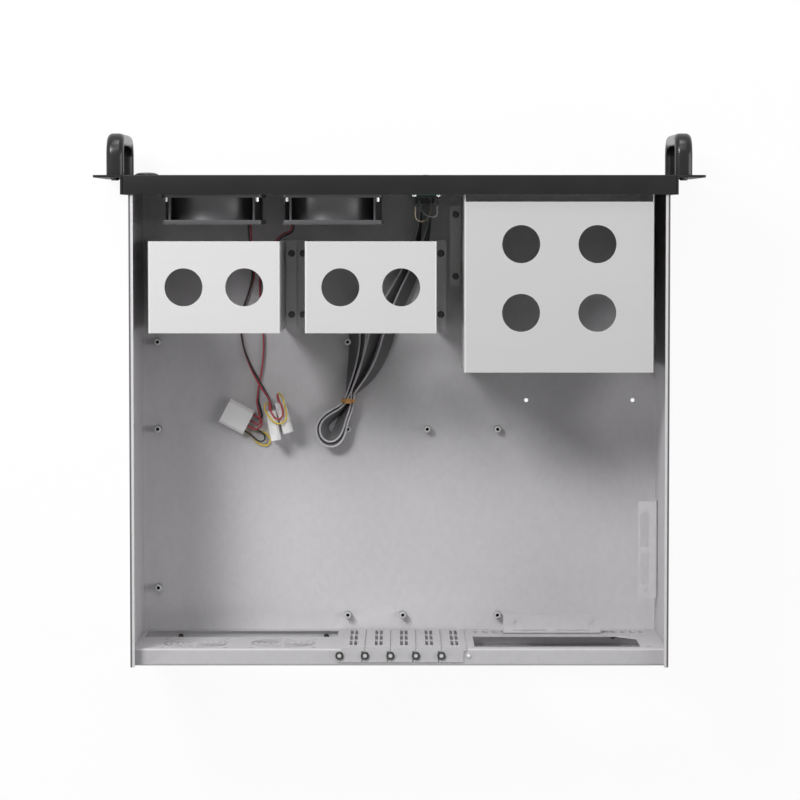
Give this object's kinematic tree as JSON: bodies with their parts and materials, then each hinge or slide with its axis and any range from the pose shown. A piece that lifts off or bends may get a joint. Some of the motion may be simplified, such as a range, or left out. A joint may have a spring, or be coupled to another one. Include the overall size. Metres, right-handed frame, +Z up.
{
  "type": "rackmount server case",
  "caption": "Open-topped, empty rackmount server case with black front, two handles, drive cages, two front fans, board standoffs and vented rear card slots.",
  "frame": {"origin": "centre of the rack ears' rear plane at the underside of the floor, which rests on a shelf or on rails", "axes": "+X along the width, to the right hand of someone facing the front; +Y from the front towards the rear; +Z up"},
  "size_m": [0.4826, 0.4234, 0.1325],
  "materials": {
    "black_paint": "satin black powder coat",
    "board_green": "solder mask",
    "button_black": "satin black",
    "connector_black": "moulded black",
    "dark_screw": "black oxide",
    "fan_black": "matt black moulding",
    "galvanised_steel": "galvanised sheet, soft spangle",
    "handle_black": "gloss black",
    "lamp_clear": "clear lens",
    "plated_steel": "zinc-plated sheet",
    "port_steel": "tin plate",
    "ribbon_grey": "PVC ribbon",
    "tie_brown": "nylon tie",
    "white_nylon": "natural nylon",
    "wire_black": "PVC",
    "wire_red": "PVC",
    "wire_yellow": "PVC",
    "zinc_screw": "bright zinc"
  },
  "bodies": {
    "case": {"bay_blank_1": "black_paint", "bay_blank_2": "black_paint", "bay_blank_3": "black_paint", "bay_cage": "plated_steel", "board_header": "connector_black", "board_screws": "dark_screw", "cage_screws": "zinc_screw", "chassis_tray": "galvanised_steel", "drive_cage_1": "plated_steel", "drive_cage_2": "plated_steel", "fan_frame_1": "fan_black", "fan_frame_2": "fan_black", "fan_lead_1_black": "wire_black", "fan_lead_1_red": "wire_red", "fan_lead_2_black": "wire_black", "fan_lead_2_red": "wire_red", "fan_screws_1": "zinc_screw", "fan_screws_2": "zinc_screw", "floor_screws": "dark_screw", "front_bezel": "black_paint", "front_board": "board_green", "front_bulkhead": "plated_steel", "handle_left": "handle_black", "handle_right": "handle_black", "handle_screws": "dark_screw", "indicator_lamps": "lamp_clear", "jumper_1_black": "wire_black", "jumper_1_red": "wire_red", "jumper_1_yellow": "wire_yellow", "jumper_2_red": "wire_red", "jumper_2_yellow": "wire_yellow", "lamp_lead_1": "wire_yellow", "lamp_lead_2": "wire_yellow", "power_plug_1": "white_nylon", "power_plug_2": "white_nylon", "power_plug_3": "white_nylon", "power_switch": "button_black", "psu_rest_rear": "galvanised_steel", "psu_rest_side": "galvanised_steel", "rack_ear_left": "black_paint", "rack_ear_right": "black_paint", "rear_panel": "galvanised_steel", "ribbon_cable_1": "ribbon_grey", "ribbon_cable_2": "ribbon_grey", "ribbon_plug_1": "connector_black", "ribbon_plug_2": "connector_black", "ribbon_socket": "connector_black", "ribbon_tie": "tie_brown", "slot_cover_1": "galvanised_steel", "slot_cover_2": "galvanised_steel", "slot_cover_3": "galvanised_steel", "slot_cover_4": "galvanised_steel", "slot_cover_5": "galvanised_steel", "slot_screws": "zinc_screw", "standoffs": "galvanised_steel", "usb_ports": "port_steel"},
    "fan_1": {"fan_rotor_1": "fan_black"},
    "fan_2": {"fan_rotor_2": "fan_black"},
    "power_button": {"power_button": "button_black"},
    "reset_button": {"reset_button": "button_black"}
  },
  "joints": [
    {"name": "fan_1_spin", "type": "hinge", "parent": "case", "child": "fan_1", "pos_m": [0.14935, 0.0245, 0.0662], "axis": [0, 1, 0], "continuous": true},
    {"name": "fan_2_spin", "type": "hinge", "parent": "case", "child": "fan_2", "pos_m": [0.0532, 0.0245, 0.0662], "axis": [0, 1, 0], "continuous": true},
    {"name": "power_press", "type": "slide", "parent": "case", "child": "power_button", "axis": [0, 1, 0], "range_m": [0, 0.0016], "stiffness_N_per_m": 500},
    {"name": "reset_press", "type": "slide", "parent": "case", "child": "reset_button", "axis": [0, 1, 0], "range_m": [0, 0.001], "stiffness_N_per_m": 500}
  ]
}
